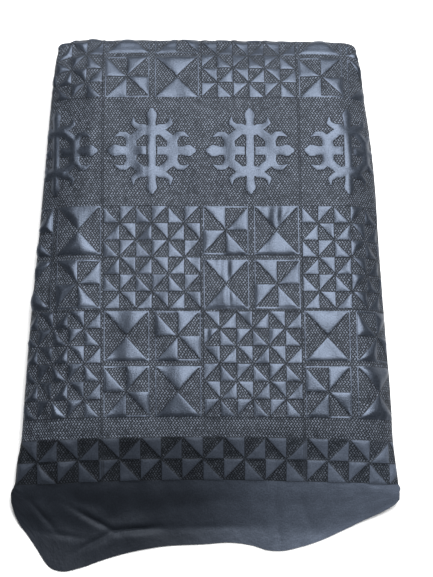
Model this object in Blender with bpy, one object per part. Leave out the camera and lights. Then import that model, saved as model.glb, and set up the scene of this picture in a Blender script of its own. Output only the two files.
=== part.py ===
"""A length of embroidered cotton cloth, folded in thirds across and then in half, lying flat.

Metres, +Z up. The near hem points to -Y, the far fold to +Y. The whole cloth is one sheet.
A point of the cloth has two flat coordinates: "across", from the left selvedge to the right
one, and "along", from the far fold (zero) to the near hem of the upper half (positive) or of
the lower half (negative). The sheet is worked out row by row. Every row is one path across
the pack: left flap, left bend, face, right bend, right flap.
"""
import bmesh
import bpy
import numpy as np

# Driving sizes
SHEET_THICKNESS = 0.002
CLOTH_WIDTH = 0.936
LOWER_LENGTH = 0.490

# The far fold: where its bend begins, how far the bend stands out, and the cloth it takes
FOLD_Y = 0.2691
FOLD_REACH = 0.0092
FOLD_HALF_ARC = 0.0140
FAR_LEFT_SIZE = 0.028
FAR_LEFT_DROP = 0.0085
FAR_RIGHT_SIZE = 0.020
FAR_RIGHT_DROP = 0.0050
FAR_EDGE_SLOPE = 0.018
FAR_DROP_RUN = 0.075

# The levels of the layers in half a pack, as shares of its height: 1 is the face
LEFT_FLAP_LEVEL = 0.60
RIGHT_FLAP_LEVEL = 0.20
EMPTY_SIDE_LEVEL = 0.38
LEVEL_RAMP = 0.060
LEFT_BEND_REACH = 0.0042
RIGHT_BEND_REACH = 0.0055

# The face drops towards both sides, over these widths and with these curves
LEFT_SLOPE_WIDTH = 0.050
LEFT_SLOPE_POWER = 1.5
RIGHT_SLOPE_WIDTH = 0.036
RIGHT_SLOPE_POWER = 2.0

# One row for each station along the pack, from the far fold to the near hem:
# y, height of the top at mid-width, at the left edge and at the right edge, left edge, right edge
PACK_STATIONS = (
    (0.2900, 0.0185, 0.0170, 0.0170, -0.1570, 0.1590),
    (0.2691, 0.0185, 0.0170, 0.0170, -0.1605, 0.1632),
    (0.2530, 0.0255, 0.0190, 0.0180, -0.1628, 0.1670),
    (0.2280, 0.0330, 0.0210, 0.0185, -0.1643, 0.1690),
    (0.2045, 0.0385, 0.0230, 0.0200, -0.1660, 0.1707),
    (0.1800, 0.0410, 0.0240, 0.0210, -0.1675, 0.1738),
    (0.1300, 0.0425, 0.0250, 0.0215, -0.1708, 0.1787),
    (0.0500, 0.0420, 0.0250, 0.0215, -0.1762, 0.1825),
    (-0.0100, 0.0423, 0.0250, 0.0215, -0.1808, 0.1857),
    (-0.0500, 0.0425, 0.0250, 0.0215, -0.1836, 0.1880),
    (-0.1250, 0.0410, 0.0245, 0.0210, -0.1878, 0.1925),
    (-0.1530, 0.0375, 0.0235, 0.0200, -0.1895, 0.1935),
    (-0.1760, 0.0300, 0.0215, 0.0185, -0.1938, 0.1960),
    (-0.1960, 0.0235, 0.0195, 0.0180, -0.1957, 0.1985),
    (-0.2080, 0.0190, 0.0170, 0.0155, -0.1973, 0.2000),
    (-0.2220, 0.0115, 0.0105, 0.0090, -0.1990, 0.2008),
    (-0.2360, 0.0055, 0.0050, 0.0040, -0.2005, 0.2005),
    (-0.2480, 0.0026, 0.0024, 0.0020, -0.2010, 0.2005),
    (-0.2600, 0.0020, 0.0020, 0.0020, -0.2010, 0.2005),
    (-0.3200, 0.0020, 0.0020, 0.0020, -0.2010, 0.2005),
)

# The near hem of the face: one row for each turn of its outline, x and y
HEM_STATIONS = (
    (-0.2010, -0.2190),
    (-0.1970, -0.2310),
    (-0.1920, -0.2420),
    (-0.1860, -0.2500),
    (-0.1775, -0.2620),
    (-0.1600, -0.2860),
    (-0.1510, -0.2895),
    (-0.1290, -0.2865),
    (-0.1090, -0.2795),
    (-0.0780, -0.2705),
    (-0.0470, -0.2650),
    (0.0000, -0.2622),
    (0.0250, -0.2606),
    (0.0500, -0.2640),
    (0.0640, -0.2683),
    (0.0770, -0.2692),
    (0.0970, -0.2655),
    (0.1200, -0.2582),
    (0.1420, -0.2482),
    (0.1620, -0.2385),
    (0.1860, -0.2275),
    (0.2005, -0.2190),
)
INNER_HEM_Y = -0.2130
BORDER_START_Y = -0.1960
BORDER_END_Y = -0.2622
ROW_BOW = 0.0055
ROW_BOW_START_Y = -0.0600
BOW_HALF_WIDTH = 0.19

# Soft folds of the upper face: one row for each,
# x and y of the middle, half-length, half-width, direction in degrees from +X, height
SOFT_FOLDS = (
    (-0.168, -0.112, 0.040, 0.007, 84.0, -0.0022),
    (-0.163, 0.040, 0.055, 0.007, 86.0, -0.0016),
    (-0.090, -0.080, 0.070, 0.012, 88.0, -0.0014),
    (0.016, 0.020, 0.034, 0.006, 90.0, -0.0012),
    (0.064, 0.066, 0.026, 0.006, 86.0, -0.0012),
    (0.080, -0.200, 0.036, 0.015, 92.0, -0.0012),
    (0.108, -0.200, 0.026, 0.010, 112.0, 0.0016),
    (-0.020, -0.150, 0.060, 0.020, 90.0, 0.0014),
    (0.100, 0.130, 0.060, 0.022, 80.0, 0.0012),
    (-0.060, 0.060, 0.070, 0.026, 100.0, 0.0012),
    (-0.125, -0.222, 0.040, 0.009, -28.0, -0.0022),
    (-0.118, -0.236, 0.036, 0.007, 32.0, 0.0016),
    (-0.050, -0.228, 0.050, 0.009, 8.0, -0.0016),
)

# How finely the sheet is divided
FLAP_COLUMNS = 10
BEND_COLUMNS = 6
FACE_COLUMNS = 22
LOWER_ROWS = 9
FOLD_ROWS = 8
UPPER_ROWS = 23
BORDER_ROWS = 9
END_CROWDING = 0.70
PATH_SAMPLES = 160
BEND_SAMPLES = 24

CLOTH_COLOUR = (0.165, 0.185, 0.225, 1.0)
CLOTH_ROUGHNESS = 0.55


def smooth_step(value):
    """Ease from 0 to 1."""
    value = np.clip(value, 0.0, 1.0)
    return value * value * (3.0 - 2.0 * value)


def crowd_ends(share):
    """Move evenly spaced stations part of the way towards both ends."""
    return share - END_CROWDING * np.sin(2.0 * np.pi * share) / (2.0 * np.pi)


def smooth_table(rows, key, column):
    """Read one column of a table at the given keys, along a smooth curve through its rows."""
    keys = np.array([row[0] for row in rows])
    values = np.array([row[column] for row in rows])
    if keys[0] > keys[-1]:
        keys = keys[::-1]
        values = values[::-1]
    slopes = np.gradient(values, keys)
    key = np.clip(key, keys[0], keys[-1])
    index = np.clip(np.searchsorted(keys, key) - 1, 0, len(keys) - 2)
    span = keys[index + 1] - keys[index]
    share = (key - keys[index]) / span
    start_slope = slopes[index] * span
    end_slope = slopes[index + 1] * span
    cube = share ** 3
    square = share ** 2
    return (
        (2.0 * cube - 3.0 * square + 1.0) * values[index]
        + (cube - 2.0 * square + share) * start_slope
        + (-2.0 * cube + 3.0 * square) * values[index + 1]
        + (cube - square) * end_slope
    )


def soft_folds(x, y):
    """Height added by the soft folds of the face."""
    height = np.zeros(np.broadcast(x, y).shape)
    for fold_x, fold_y, half_length, half_width, degrees, rise in SOFT_FOLDS:
        angle = np.radians(degrees)
        lengthwise = (x - fold_x) * np.cos(angle) + (y - fold_y) * np.sin(angle)
        sideways = (y - fold_y) * np.cos(angle) - (x - fold_x) * np.sin(angle)
        height = height + rise * np.exp(
            -(lengthwise / half_length) ** 2 - (sideways / half_width) ** 2
        )
    return height


def pack_height(x, y):
    """Height of the top layer's middle over the bottom layer's middle."""
    middle = smooth_table(PACK_STATIONS, y, 1)
    left = smooth_table(PACK_STATIONS, y, 2)
    right = smooth_table(PACK_STATIONS, y, 3)
    left_edge = smooth_table(PACK_STATIONS, y, 4)
    right_edge = smooth_table(PACK_STATIONS, y, 5)
    from_left = np.clip(1.0 - (x - left_edge) / LEFT_SLOPE_WIDTH, 0.0, 1.15)
    from_right = np.clip(1.0 - (right_edge - x) / RIGHT_SLOPE_WIDTH, 0.0, 1.15)
    height = middle
    height = height - (middle - left) * from_left ** LEFT_SLOPE_POWER
    height = height - (middle - right) * from_right ** RIGHT_SLOPE_POWER
    raised = np.clip((height - SHEET_THICKNESS) / 0.012, 0.0, 1.0)
    height = height + soft_folds(x, y) * smooth_step(raised)
    return np.maximum(height - SHEET_THICKNESS, 0.0)


def far_corner_drop(x, row_y):
    """The far fold's line curves back at both corners, and runs a little askew."""
    left = smooth_table(PACK_STATIONS, np.full_like(x, FOLD_Y), 4)
    right = smooth_table(PACK_STATIONS, np.full_like(x, FOLD_Y), 5)
    into_left = np.clip(1.0 - (x - left) / FAR_LEFT_SIZE, 0.0, 1.2)
    into_right = np.clip(1.0 - (right - x) / FAR_RIGHT_SIZE, 0.0, 1.2)
    drop = FAR_LEFT_DROP * into_left ** 2.2 + FAR_RIGHT_DROP * into_right ** 2.2
    drop = drop + FAR_EDGE_SLOPE * np.maximum(x, 0.0)
    return drop * smooth_step((row_y - (FOLD_Y - FAR_DROP_RUN)) / FAR_DROP_RUN)


def row_path(row_y, turn):
    """One row's path across the pack: x, level and flat distance from the middle of the face.

    The turn is 0 in the upper half of the pack and pi in the lower half.
    """
    left_edge = float(smooth_table(PACK_STATIONS, np.array([row_y]), 4)[0])
    right_edge = float(smooth_table(PACK_STATIONS, np.array([row_y]), 5)[0])
    left_start = left_edge + LEFT_BEND_REACH
    right_start = right_edge - RIGHT_BEND_REACH
    face_width = right_start - left_start
    flap_width = 0.5 * (CLOTH_WIDTH - face_width)
    spare = max(face_width - flap_width, 0.0)
    emptiness = float(smooth_step(np.array([(spare - 0.01) / 0.04]))[0])
    left_bend_level = LEFT_FLAP_LEVEL + emptiness * (EMPTY_SIDE_LEVEL - LEFT_FLAP_LEVEL)
    right_bend_level = RIGHT_FLAP_LEVEL + emptiness * (EMPTY_SIDE_LEVEL - RIGHT_FLAP_LEVEL)

    share = np.linspace(0.0, 1.0, PATH_SAMPLES)
    half_turn = np.linspace(0.0, np.pi, BEND_SAMPLES)
    # The face, from left to right
    face_x = left_start + face_width * share
    face_level = np.ones_like(face_x)
    # The bends, each from the face down to its flap
    left_x = left_start - LEFT_BEND_REACH * np.sin(half_turn)
    left_level = 1.0 - (1.0 - left_bend_level) * 0.5 * (1.0 - np.cos(half_turn))
    right_x = right_start + RIGHT_BEND_REACH * np.sin(half_turn)
    right_level = 1.0 - (1.0 - right_bend_level) * 0.5 * (1.0 - np.cos(half_turn))
    # The flaps, each from its bend towards the other side
    flap_run = face_width * share
    ramp = smooth_step(flap_run / LEVEL_RAMP)
    left_flap_level = left_bend_level + (LEFT_FLAP_LEVEL - left_bend_level) * ramp
    right_flap_level = right_bend_level + (RIGHT_FLAP_LEVEL - right_bend_level) * ramp
    left_flap_x = left_start + flap_run
    right_flap_x = right_start - flap_run

    path_x = np.concatenate(
        (left_flap_x[::-1], left_x[-2:0:-1], face_x, right_x[1:-1], right_flap_x)
    )
    path_level = np.concatenate(
        (left_flap_level[::-1], left_level[-2:0:-1], face_level, right_level[1:-1], right_flap_level)
    )
    height = pack_height(path_x, np.full_like(path_x, row_y))
    path_z = height * (0.5 + 0.5 * path_level * np.cos(turn))
    steps = np.hypot(np.diff(path_x), np.diff(path_z))
    run = np.concatenate(([0.0], np.cumsum(steps)))
    # Flat distance is counted from the line that runs down the middle of the face
    first_of_face = PATH_SAMPLES + BEND_SAMPLES - 2
    last_of_face = first_of_face + PATH_SAMPLES - 1
    face = slice(first_of_face, last_of_face + 1)
    run = run - np.interp(0.0, path_x[face], run[face])
    joints = {
        "left flap": run[PATH_SAMPLES - 1],
        "left face": run[first_of_face],
        "right face": run[last_of_face],
        "right flap": run[last_of_face + BEND_SAMPLES - 1],
    }
    return path_x, path_level, run, joints


def upper_profile():
    """Cloth length along the top at mid-width, and the y that it reaches there."""
    y = np.linspace(FOLD_Y, BORDER_END_Y, 400)
    z = pack_height(np.zeros_like(y), y)
    run = np.concatenate(([0.0], np.cumsum(np.hypot(np.diff(y), np.diff(z)))))
    return FOLD_HALF_ARC + run, y


def row_place(along, profile):
    """The y where a row lies, its turn round the far fold, and its share of the plain border."""
    run, y = profile
    if abs(along) <= FOLD_HALF_ARC:
        turn = 0.5 * np.pi * (1.0 - along / FOLD_HALF_ARC)
        return FOLD_Y, turn, 0.0
    if along > 0.0:
        row_y = float(np.interp(along, run, y))
        border = (BORDER_START_Y - row_y) / (BORDER_START_Y - BORDER_END_Y)
        return row_y, 0.0, max(border, 0.0)
    return FOLD_Y - (-along - FOLD_HALF_ARC), np.pi, 0.0


def sheet_point(across, along, profile):
    """Places of one row's points in the folded pack."""
    row_y, turn, border = row_place(along, profile)
    path_x, path_level, run, joints = row_path(row_y, turn)
    x = np.interp(across, run, path_x)
    level = np.interp(across, run, path_level)
    y = row_y + level * FOLD_REACH * np.sin(turn)
    y = y - far_corner_drop(x, np.full_like(x, row_y))
    if turn == 0.0:
        bow = ROW_BOW * smooth_step((ROW_BOW_START_Y - row_y) / (ROW_BOW_START_Y - BORDER_START_Y))
        y = y - bow * np.minimum(np.abs(x) / BOW_HALF_WIDTH, 1.0) ** 2
        past_left = (across - joints["left flap"]) / (joints["left face"] - joints["left flap"])
        past_right = (joints["right flap"] - across) / (joints["right flap"] - joints["right face"])
        on_face = smooth_step(past_left) * smooth_step(past_right)
        hem = smooth_table(HEM_STATIONS, x, 1)
        end = INNER_HEM_Y + (hem - INNER_HEM_Y) * on_face
        bowed_start = BORDER_START_Y - ROW_BOW * np.minimum(np.abs(x) / BOW_HALF_WIDTH, 1.0) ** 2
        y = np.where(border > 0.0, bowed_start + (end - bowed_start) * border, y)
    z = 0.5 * SHEET_THICKNESS + pack_height(x, y) * (0.5 + 0.5 * level * np.cos(turn))
    return np.stack((x, y, z), axis=-1)


def row_stations():
    """The flat coordinate of every row, from the lower hem round the fold to the upper hem."""
    lower = np.linspace(-LOWER_LENGTH, -FOLD_HALF_ARC, LOWER_ROWS, endpoint=False)
    fold = np.linspace(-FOLD_HALF_ARC, FOLD_HALF_ARC, FOLD_ROWS, endpoint=False)
    run, y = upper_profile()
    border = float(np.interp(-BORDER_START_Y, -y, run))
    upper = np.linspace(FOLD_HALF_ARC, border, UPPER_ROWS, endpoint=False)
    last = np.linspace(border, run[-1], BORDER_ROWS)
    return np.concatenate((lower, fold, upper, last))


def column_stations(joints):
    """The flat coordinate of every column in one row. The columns follow the bends."""
    half_width = 0.5 * CLOTH_WIDTH
    middle = 0.5 * (joints["left face"] + joints["right face"])
    stops = (
        (middle - half_width, joints["left flap"], FLAP_COLUMNS),
        (joints["left flap"], joints["left face"], BEND_COLUMNS),
        (joints["left face"], joints["right face"], FACE_COLUMNS),
        (joints["right face"], joints["right flap"], BEND_COLUMNS),
    )
    columns = []
    for start, end, count in stops:
        share = np.linspace(0.0, 1.0, count, endpoint=False)
        columns.append(start + (end - start) * crowd_ends(share))
    share = np.linspace(0.0, 1.0, FLAP_COLUMNS + 1)
    start = joints["right flap"]
    columns.append(start + (middle + half_width - start) * crowd_ends(share))
    return np.concatenate(columns)


def middle_surface():
    """The grid of points halfway through the sheet."""
    profile = upper_profile()
    rows = []
    for along in row_stations():
        row_y, turn, border = row_place(along, profile)
        joints = row_path(row_y, turn)[3]
        rows.append(sheet_point(column_stations(joints), along, profile))
    return np.array(rows)


def surface_normals(grid):
    """Unit normals of a grid of points, pointing out of the face."""
    down_rows = np.gradient(grid, axis=0)
    across_rows = np.gradient(grid, axis=1)
    normals = np.cross(down_rows, across_rows)
    return normals / np.linalg.norm(normals, axis=-1, keepdims=True)


def cloth_material():
    """Blue-grey cotton."""
    material = bpy.data.materials.new("blue_grey_cotton")
    material.use_nodes = True
    shader = material.node_tree.nodes["Principled BSDF"]
    shader.inputs["Base Color"].default_value = CLOTH_COLOUR
    shader.inputs["Roughness"].default_value = CLOTH_ROUGHNESS
    shader.inputs["Metallic"].default_value = 0.0
    return material


def build_cloth():
    """The folded cloth as one closed sheet, with its box centred on the origin."""
    grid = middle_surface()
    normals = surface_normals(grid)
    outer = grid + 0.5 * SHEET_THICKNESS * normals
    inner = grid - 0.5 * SHEET_THICKNESS * normals
    both = np.concatenate((outer.reshape(-1, 3), inner.reshape(-1, 3)))
    low = both.min(axis=0)
    high = both.max(axis=0)
    both[:, 0] -= 0.5 * (low[0] + high[0])
    both[:, 1] -= 0.5 * (low[1] + high[1])
    both[:, 2] = np.maximum(both[:, 2], 0.0)

    shape = bmesh.new()
    points = [shape.verts.new(point) for point in both.tolist()]
    row_count, column_count = grid.shape[:2]
    layer = row_count * column_count

    def corner(row, column, side):
        return points[side * layer + row * column_count + column]

    for row in range(row_count - 1):
        for column in range(column_count - 1):
            for side in (0, 1):
                ring = [
                    corner(row, column, side),
                    corner(row + 1, column, side),
                    corner(row + 1, column + 1, side),
                    corner(row, column + 1, side),
                ]
                shape.faces.new(ring if side == 0 else ring[::-1])
    border = [(0, column) for column in range(column_count - 1)]
    border += [(row, column_count - 1) for row in range(row_count - 1)]
    border += [(row_count - 1, column) for column in range(column_count - 1, 0, -1)]
    border += [(row, 0) for row in range(row_count - 1, 0, -1)]
    for place, next_place in zip(border, border[1:] + border[:1]):
        shape.faces.new(
            (
                corner(*place, 0),
                corner(*next_place, 0),
                corner(*next_place, 1),
                corner(*place, 1),
            )
        )
    bmesh.ops.triangulate(shape, faces=shape.faces[:])
    mesh = bpy.data.meshes.new("folded_cloth")
    shape.to_mesh(mesh)
    shape.free()
    mesh.shade_smooth()
    cloth = bpy.data.objects.new("folded_cloth", mesh)
    cloth.data.materials.append(cloth_material())
    bpy.context.scene.collection.objects.link(cloth)
    return cloth


for old_object in list(bpy.data.objects):
    bpy.data.objects.remove(old_object, do_unlink=True)
build_cloth()
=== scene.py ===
"""The looks of a folded length of embroidered cotton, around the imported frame.

The cloth is one thin sheet on the folds of its CAD solid, worked out from the same named sizes.
A point of the cloth has two flat coordinates, as in the solid: "across", from the left selvedge
to the right one, and "along", from the far fold towards the near hem. The embroidery is one
function of these two. It raises the mesh where the satin puffs up, and it draws the same satin,
stitches and seams in the shader.
"""
import math

import bpy
import numpy as np
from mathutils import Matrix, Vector


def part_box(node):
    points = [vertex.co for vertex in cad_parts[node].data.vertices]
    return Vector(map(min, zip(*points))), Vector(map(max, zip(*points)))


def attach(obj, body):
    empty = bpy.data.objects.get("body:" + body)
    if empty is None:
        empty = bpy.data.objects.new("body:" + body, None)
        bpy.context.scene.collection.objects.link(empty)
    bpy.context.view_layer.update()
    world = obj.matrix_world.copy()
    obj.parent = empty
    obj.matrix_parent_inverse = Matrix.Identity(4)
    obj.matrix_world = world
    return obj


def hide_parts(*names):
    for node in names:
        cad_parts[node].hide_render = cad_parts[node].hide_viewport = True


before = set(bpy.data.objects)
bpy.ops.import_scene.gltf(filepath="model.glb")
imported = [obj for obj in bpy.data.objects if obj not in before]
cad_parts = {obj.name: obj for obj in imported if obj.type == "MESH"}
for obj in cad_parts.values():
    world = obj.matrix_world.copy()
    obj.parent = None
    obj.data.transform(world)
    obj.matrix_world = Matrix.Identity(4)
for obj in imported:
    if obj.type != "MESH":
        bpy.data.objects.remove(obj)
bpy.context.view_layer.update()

# The photograph's frame, and the camera that looks down on the cloth
PHOTO_WIDTH = 433
PHOTO_HEIGHT = 577
SENSOR_LONG_SIDE = 36.0
CAMERA_DISTANCE = 1.50
CAMERA_ELEVATION = math.radians(80.0)
CAMERA_TARGET = Vector((0.0112, 0.0051, 0.035))
CAMERA_FOCUS_PIXELS = 1442.0

# The folded cloth, with the CAD solid's own sizes in metres
SOLID_THICKNESS = 0.002
SHEET_THICKNESS = 0.0012
CLOTH_WIDTH = 0.936
LOWER_LENGTH = 0.490
FOLD_Y = 0.2691
FOLD_REACH = 0.0092
FOLD_HALF_ARC = 0.0140
FAR_LEFT_SIZE = 0.028
FAR_LEFT_DROP = 0.0085
FAR_RIGHT_SIZE = 0.020
FAR_RIGHT_DROP = 0.0050
FAR_EDGE_SLOPE = 0.018
FAR_DROP_RUN = 0.075
LEFT_FLAP_LEVEL = 0.60
RIGHT_FLAP_LEVEL = 0.20
EMPTY_SIDE_LEVEL = 0.38
LEVEL_RAMP = 0.060
LEFT_BEND_REACH = 0.0042
RIGHT_BEND_REACH = 0.0055
LEFT_SLOPE_WIDTH = 0.050
LEFT_SLOPE_POWER = 1.5
RIGHT_SLOPE_WIDTH = 0.036
RIGHT_SLOPE_POWER = 2.0
SLOPE_LIMIT = 1.15
FOLD_FADE_HEIGHT = 0.012
SPARE_FADE_HEIGHT = 0.006
CORNER_LIMIT = 1.2
CORNER_POWER = 2.2

# One row for each station along the pack, from the far fold to the near hem:
# y, height of the top at mid-width, at the left edge and at the right edge, left edge, right edge
PACK_STATIONS = (
    (0.2900, 0.0185, 0.0170, 0.0170, -0.1570, 0.1590),
    (0.2691, 0.0185, 0.0170, 0.0170, -0.1605, 0.1632),
    (0.2530, 0.0255, 0.0190, 0.0180, -0.1628, 0.1670),
    (0.2280, 0.0330, 0.0210, 0.0185, -0.1643, 0.1690),
    (0.2045, 0.0385, 0.0230, 0.0200, -0.1660, 0.1707),
    (0.1800, 0.0410, 0.0240, 0.0210, -0.1675, 0.1738),
    (0.1300, 0.0425, 0.0250, 0.0215, -0.1708, 0.1787),
    (0.0500, 0.0420, 0.0250, 0.0215, -0.1762, 0.1825),
    (-0.0100, 0.0423, 0.0250, 0.0215, -0.1808, 0.1857),
    (-0.0500, 0.0425, 0.0250, 0.0215, -0.1836, 0.1880),
    (-0.1250, 0.0410, 0.0245, 0.0210, -0.1878, 0.1925),
    (-0.1530, 0.0375, 0.0235, 0.0200, -0.1895, 0.1935),
    (-0.1760, 0.0300, 0.0215, 0.0185, -0.1938, 0.1960),
    (-0.1960, 0.0235, 0.0195, 0.0180, -0.1957, 0.1985),
    (-0.2080, 0.0190, 0.0170, 0.0155, -0.1973, 0.2000),
    (-0.2220, 0.0115, 0.0105, 0.0090, -0.1990, 0.2008),
    (-0.2360, 0.0055, 0.0050, 0.0040, -0.2005, 0.2005),
    (-0.2480, 0.0026, 0.0024, 0.0020, -0.2010, 0.2005),
    (-0.2600, 0.0020, 0.0020, 0.0020, -0.2010, 0.2005),
    (-0.3200, 0.0020, 0.0020, 0.0020, -0.2010, 0.2005),
)

# The near hem of the face: one row for each turn of its outline, x and y
HEM_STATIONS = (
    (-0.2010, -0.2190),
    (-0.1970, -0.2310),
    (-0.1920, -0.2420),
    (-0.1860, -0.2500),
    (-0.1775, -0.2620),
    (-0.1600, -0.2860),
    (-0.1510, -0.2895),
    (-0.1290, -0.2865),
    (-0.1090, -0.2795),
    (-0.0780, -0.2705),
    (-0.0470, -0.2650),
    (0.0000, -0.2622),
    (0.0250, -0.2606),
    (0.0500, -0.2640),
    (0.0640, -0.2683),
    (0.0770, -0.2692),
    (0.0970, -0.2655),
    (0.1200, -0.2582),
    (0.1420, -0.2482),
    (0.1620, -0.2385),
    (0.1860, -0.2275),
    (0.2005, -0.2190),
)
INNER_HEM_Y = -0.2130
BORDER_START_Y = -0.1960
BORDER_END_Y = -0.2622
ROW_BOW = 0.0055
ROW_BOW_START_Y = -0.0600
BOW_HALF_WIDTH = 0.19

# Soft folds of the solid's upper face: one row for each,
# x and y of the middle, half-length, half-width, direction in degrees from +X, height
SOFT_FOLDS = (
    (-0.168, -0.112, 0.040, 0.007, 84.0, -0.0022),
    (-0.163, 0.040, 0.055, 0.007, 86.0, -0.0016),
    (-0.090, -0.080, 0.070, 0.012, 88.0, -0.0014),
    (0.016, 0.020, 0.034, 0.006, 90.0, -0.0012),
    (0.064, 0.066, 0.026, 0.006, 86.0, -0.0012),
    (0.080, -0.200, 0.036, 0.015, 92.0, -0.0012),
    (0.108, -0.200, 0.026, 0.010, 112.0, 0.0016),
    (-0.020, -0.150, 0.060, 0.020, 90.0, 0.0014),
    (0.100, 0.130, 0.060, 0.022, 80.0, 0.0012),
    (-0.060, 0.060, 0.070, 0.026, 100.0, 0.0012),
    (-0.125, -0.222, 0.040, 0.009, -28.0, -0.0022),
    (-0.118, -0.236, 0.036, 0.007, 32.0, 0.0016),
    (-0.050, -0.228, 0.050, 0.009, 8.0, -0.0016),
)

# Finer creases, which only the visible sheet has. Each is a narrow valley between two soft lips:
# x and y of the middle, half-length, half-width, direction in degrees from +X, height of the lips
FINE_CREASES = (
    (0.0235, 0.0180, 0.0160, 0.0026, 90.0, 0.0013),
    (0.0245, -0.0120, 0.0110, 0.0026, 92.0, 0.0014),
    (0.0757, 0.0740, 0.0125, 0.0024, 88.0, 0.0012),
    (0.0830, 0.0735, 0.0110, 0.0022, 56.0, 0.0009),
    (-0.0628, 0.1425, 0.0280, 0.0018, 91.0, 0.0006),
    (0.0022, -0.0498, 0.0090, 0.0026, 88.0, 0.0011),
    (0.0310, -0.0498, 0.0080, 0.0026, 94.0, 0.0010),
    (0.0660, -0.0498, 0.0100, 0.0026, 90.0, 0.0011),
    (0.1788, -0.1445, 0.0150, 0.0030, 84.0, 0.0014),
    (0.1850, -0.1440, 0.0130, 0.0024, 80.0, 0.0010),
    (-0.1655, -0.1300, 0.0330, 0.0036, 86.0, 0.0012),
    (-0.1600, 0.0600, 0.0300, 0.0024, 87.0, 0.0014),
    (-0.1635, 0.0040, 0.0320, 0.0024, 87.0, 0.0015),
    (-0.1156, -0.2372, 0.0240, 0.0032, -28.0, 0.0030),
    (-0.1127, -0.2590, 0.0220, 0.0030, 27.5, 0.0024),
    (-0.0720, -0.2474, 0.0240, 0.0040, 4.7, 0.0040),
    (0.0050, -0.2450, 0.0420, 0.0044, 2.0, 0.0010),
    (-0.1680, -0.2330, 0.0180, 0.0030, -48.0, 0.0016),
    (-0.1440, -0.2540, 0.0200, 0.0028, -8.0, 0.0014),
    (0.0745, -0.2400, 0.0260, 0.0052, 92.0, 0.0016),
    (0.1030, -0.2290, 0.0190, 0.0046, 108.0, 0.0014),
)

# The face is gently uneven all over: one row for each wave,
# its length, the direction that it runs in, in degrees from +X, its start in radians, its height
UNEVEN_WAVES = (
    (0.047, 8.0, 0.4, 0.00040),
    (0.031, -14.0, 2.1, 0.00024),
    (0.023, 21.0, 4.6, 0.00015),
    (0.058, 74.0, 1.2, 0.00034),
    (0.036, 112.0, 3.3, 0.00020),
)
CREASE_LIP_SPREAD = 4.5
UNEVEN_FADE_START = 0.004
UNEVEN_FADE_END = 0.016

# Where the sheet's bends are open, and where its relief shows
EMPTY_SPARE_START = 0.01
EMPTY_SPARE_END = 0.05
SHOWN_LEVEL_START = 0.80
SHOWN_LEVEL_END = 0.97
SHOWN_TURN_START = -0.4
SHOWN_TURN_END = 0.5
PATH_SAMPLES = 240
BEND_SAMPLES = 40
PROFILE_SAMPLES = 400

# How finely the sheet is divided: steps in metres of flat cloth, and counts where it is hidden
FACE_HALF_WIDTH = 0.222
FACE_STEP = 0.00202
FLAP_COLUMNS = 17
FOLD_ROWS = 18
LOWER_ROWS = 26
INNER_SKIN_STEP = 3

# Grid points near a satin edge are moved onto it: reach in steps of the face, slopes, probe
EDGE_PULL_REACH = 0.34
EDGE_STEEPNESS_LOW = 0.6
EDGE_STEEPNESS_HIGH = 1.5
EDGE_PROBE = 0.0001

# The embroidery, in metres of flat cloth. Rows of blocks are counted from the ribbed band up.
PATTERN_END = 0.4219
PATTERN_SHIFT = 0.0064
PATTERN_SKEW = 0.0100
BLOCK_WIDTH = 0.1035
BLOCK_HEIGHT = 0.1112
FIGURE_BAND_HEIGHT = 0.1170
SMALL_SQUARES = 6
SMALL_MARGIN = 0.0012
LARGE_GAP_X = 0.0058
LARGE_GAP_Y = 0.0054
LARGE_MARGIN_X = 0.0016
LARGE_MARGIN_Y = 0.0012
LARGE_FRAME_X = 0.0013
LARGE_FRAME_Y = 0.0019
EDGE_INSET = 0.0004
DIAGONAL_INSET = 0.0009
RIB_BAND_END = 0.4412
STRIP_END = 0.4866
STRIP_SQUARE = 0.0213
STRIP_SHIFT = 0.0237
SMALL_PUFF = 0.0009
LARGE_PUFF = 0.0012
FIGURE_PUFF = 0.0009
STRIP_PUFF = 0.0010
PUFF_FOOT = 0.0019
PUFF_RUN = 0.0050
PUFF_FOOT_SHARE = 0.75
EDGE_SWELL = 0.0017
RIGHT_SWELL_SHARE = 0.6
SWELL_DOME_LIMIT = 1.3
LEFT_SWELL_START = -0.105
LEFT_SWELL_END = -0.160
RIGHT_SWELL_START = 0.125
RIGHT_SWELL_END = 0.175
SEAM_PLACE = 0.0009
SEAM_CORE = 0.0002
SEAM_EDGE = 0.0009
OUTSIDE = -0.01

# The crossed figure, one quarter of it, in millimetres from its middle:
# one row for each stroke, start x and y, end x and y, half-width at the start and at the end
FIGURE_STROKES = (
    (0.0, 0.0, 0.0, 33.0, 4.2, 4.0),
    (0.0, 33.0, 0.0, 39.5, 4.2, 5.4),
    (0.0, 39.5, 0.0, 44.6, 5.4, 2.6),
    (0.0, 22.0, 9.0, 22.6, 6.0, 4.8),
    (9.0, 22.2, 21.0, 12.4, 4.2, 4.7),
    (21.6, 0.0, 21.6, 12.0, 6.6, 5.2),
    (0.0, 0.0, 30.0, 0.0, 4.6, 4.6),
    (30.0, 0.0, 38.5, 0.0, 4.2, 6.2),
    (38.5, 0.0, 43.6, 0.0, 6.2, 3.0),
    (8.5, 25.5, 14.6, 26.6, 3.8, 2.9),
    (14.6, 26.6, 19.6, 30.4, 2.9, 2.6),
    (19.6, 30.4, 19.3, 37.2, 2.6, 0.4),
    (23.0, 12.0, 27.6, 17.8, 4.2, 2.9),
    (27.6, 17.8, 33.2, 18.4, 2.9, 2.5),
    (33.2, 18.4, 39.0, 15.4, 2.5, 0.5),
)

# Narrow gaps beside the figure's upright body, in millimetres
FIGURE_GAP_X = 5.0
FIGURE_GAP_HALF_WIDTH = 0.7
FIGURE_GAP_REACH = 5.2

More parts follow.
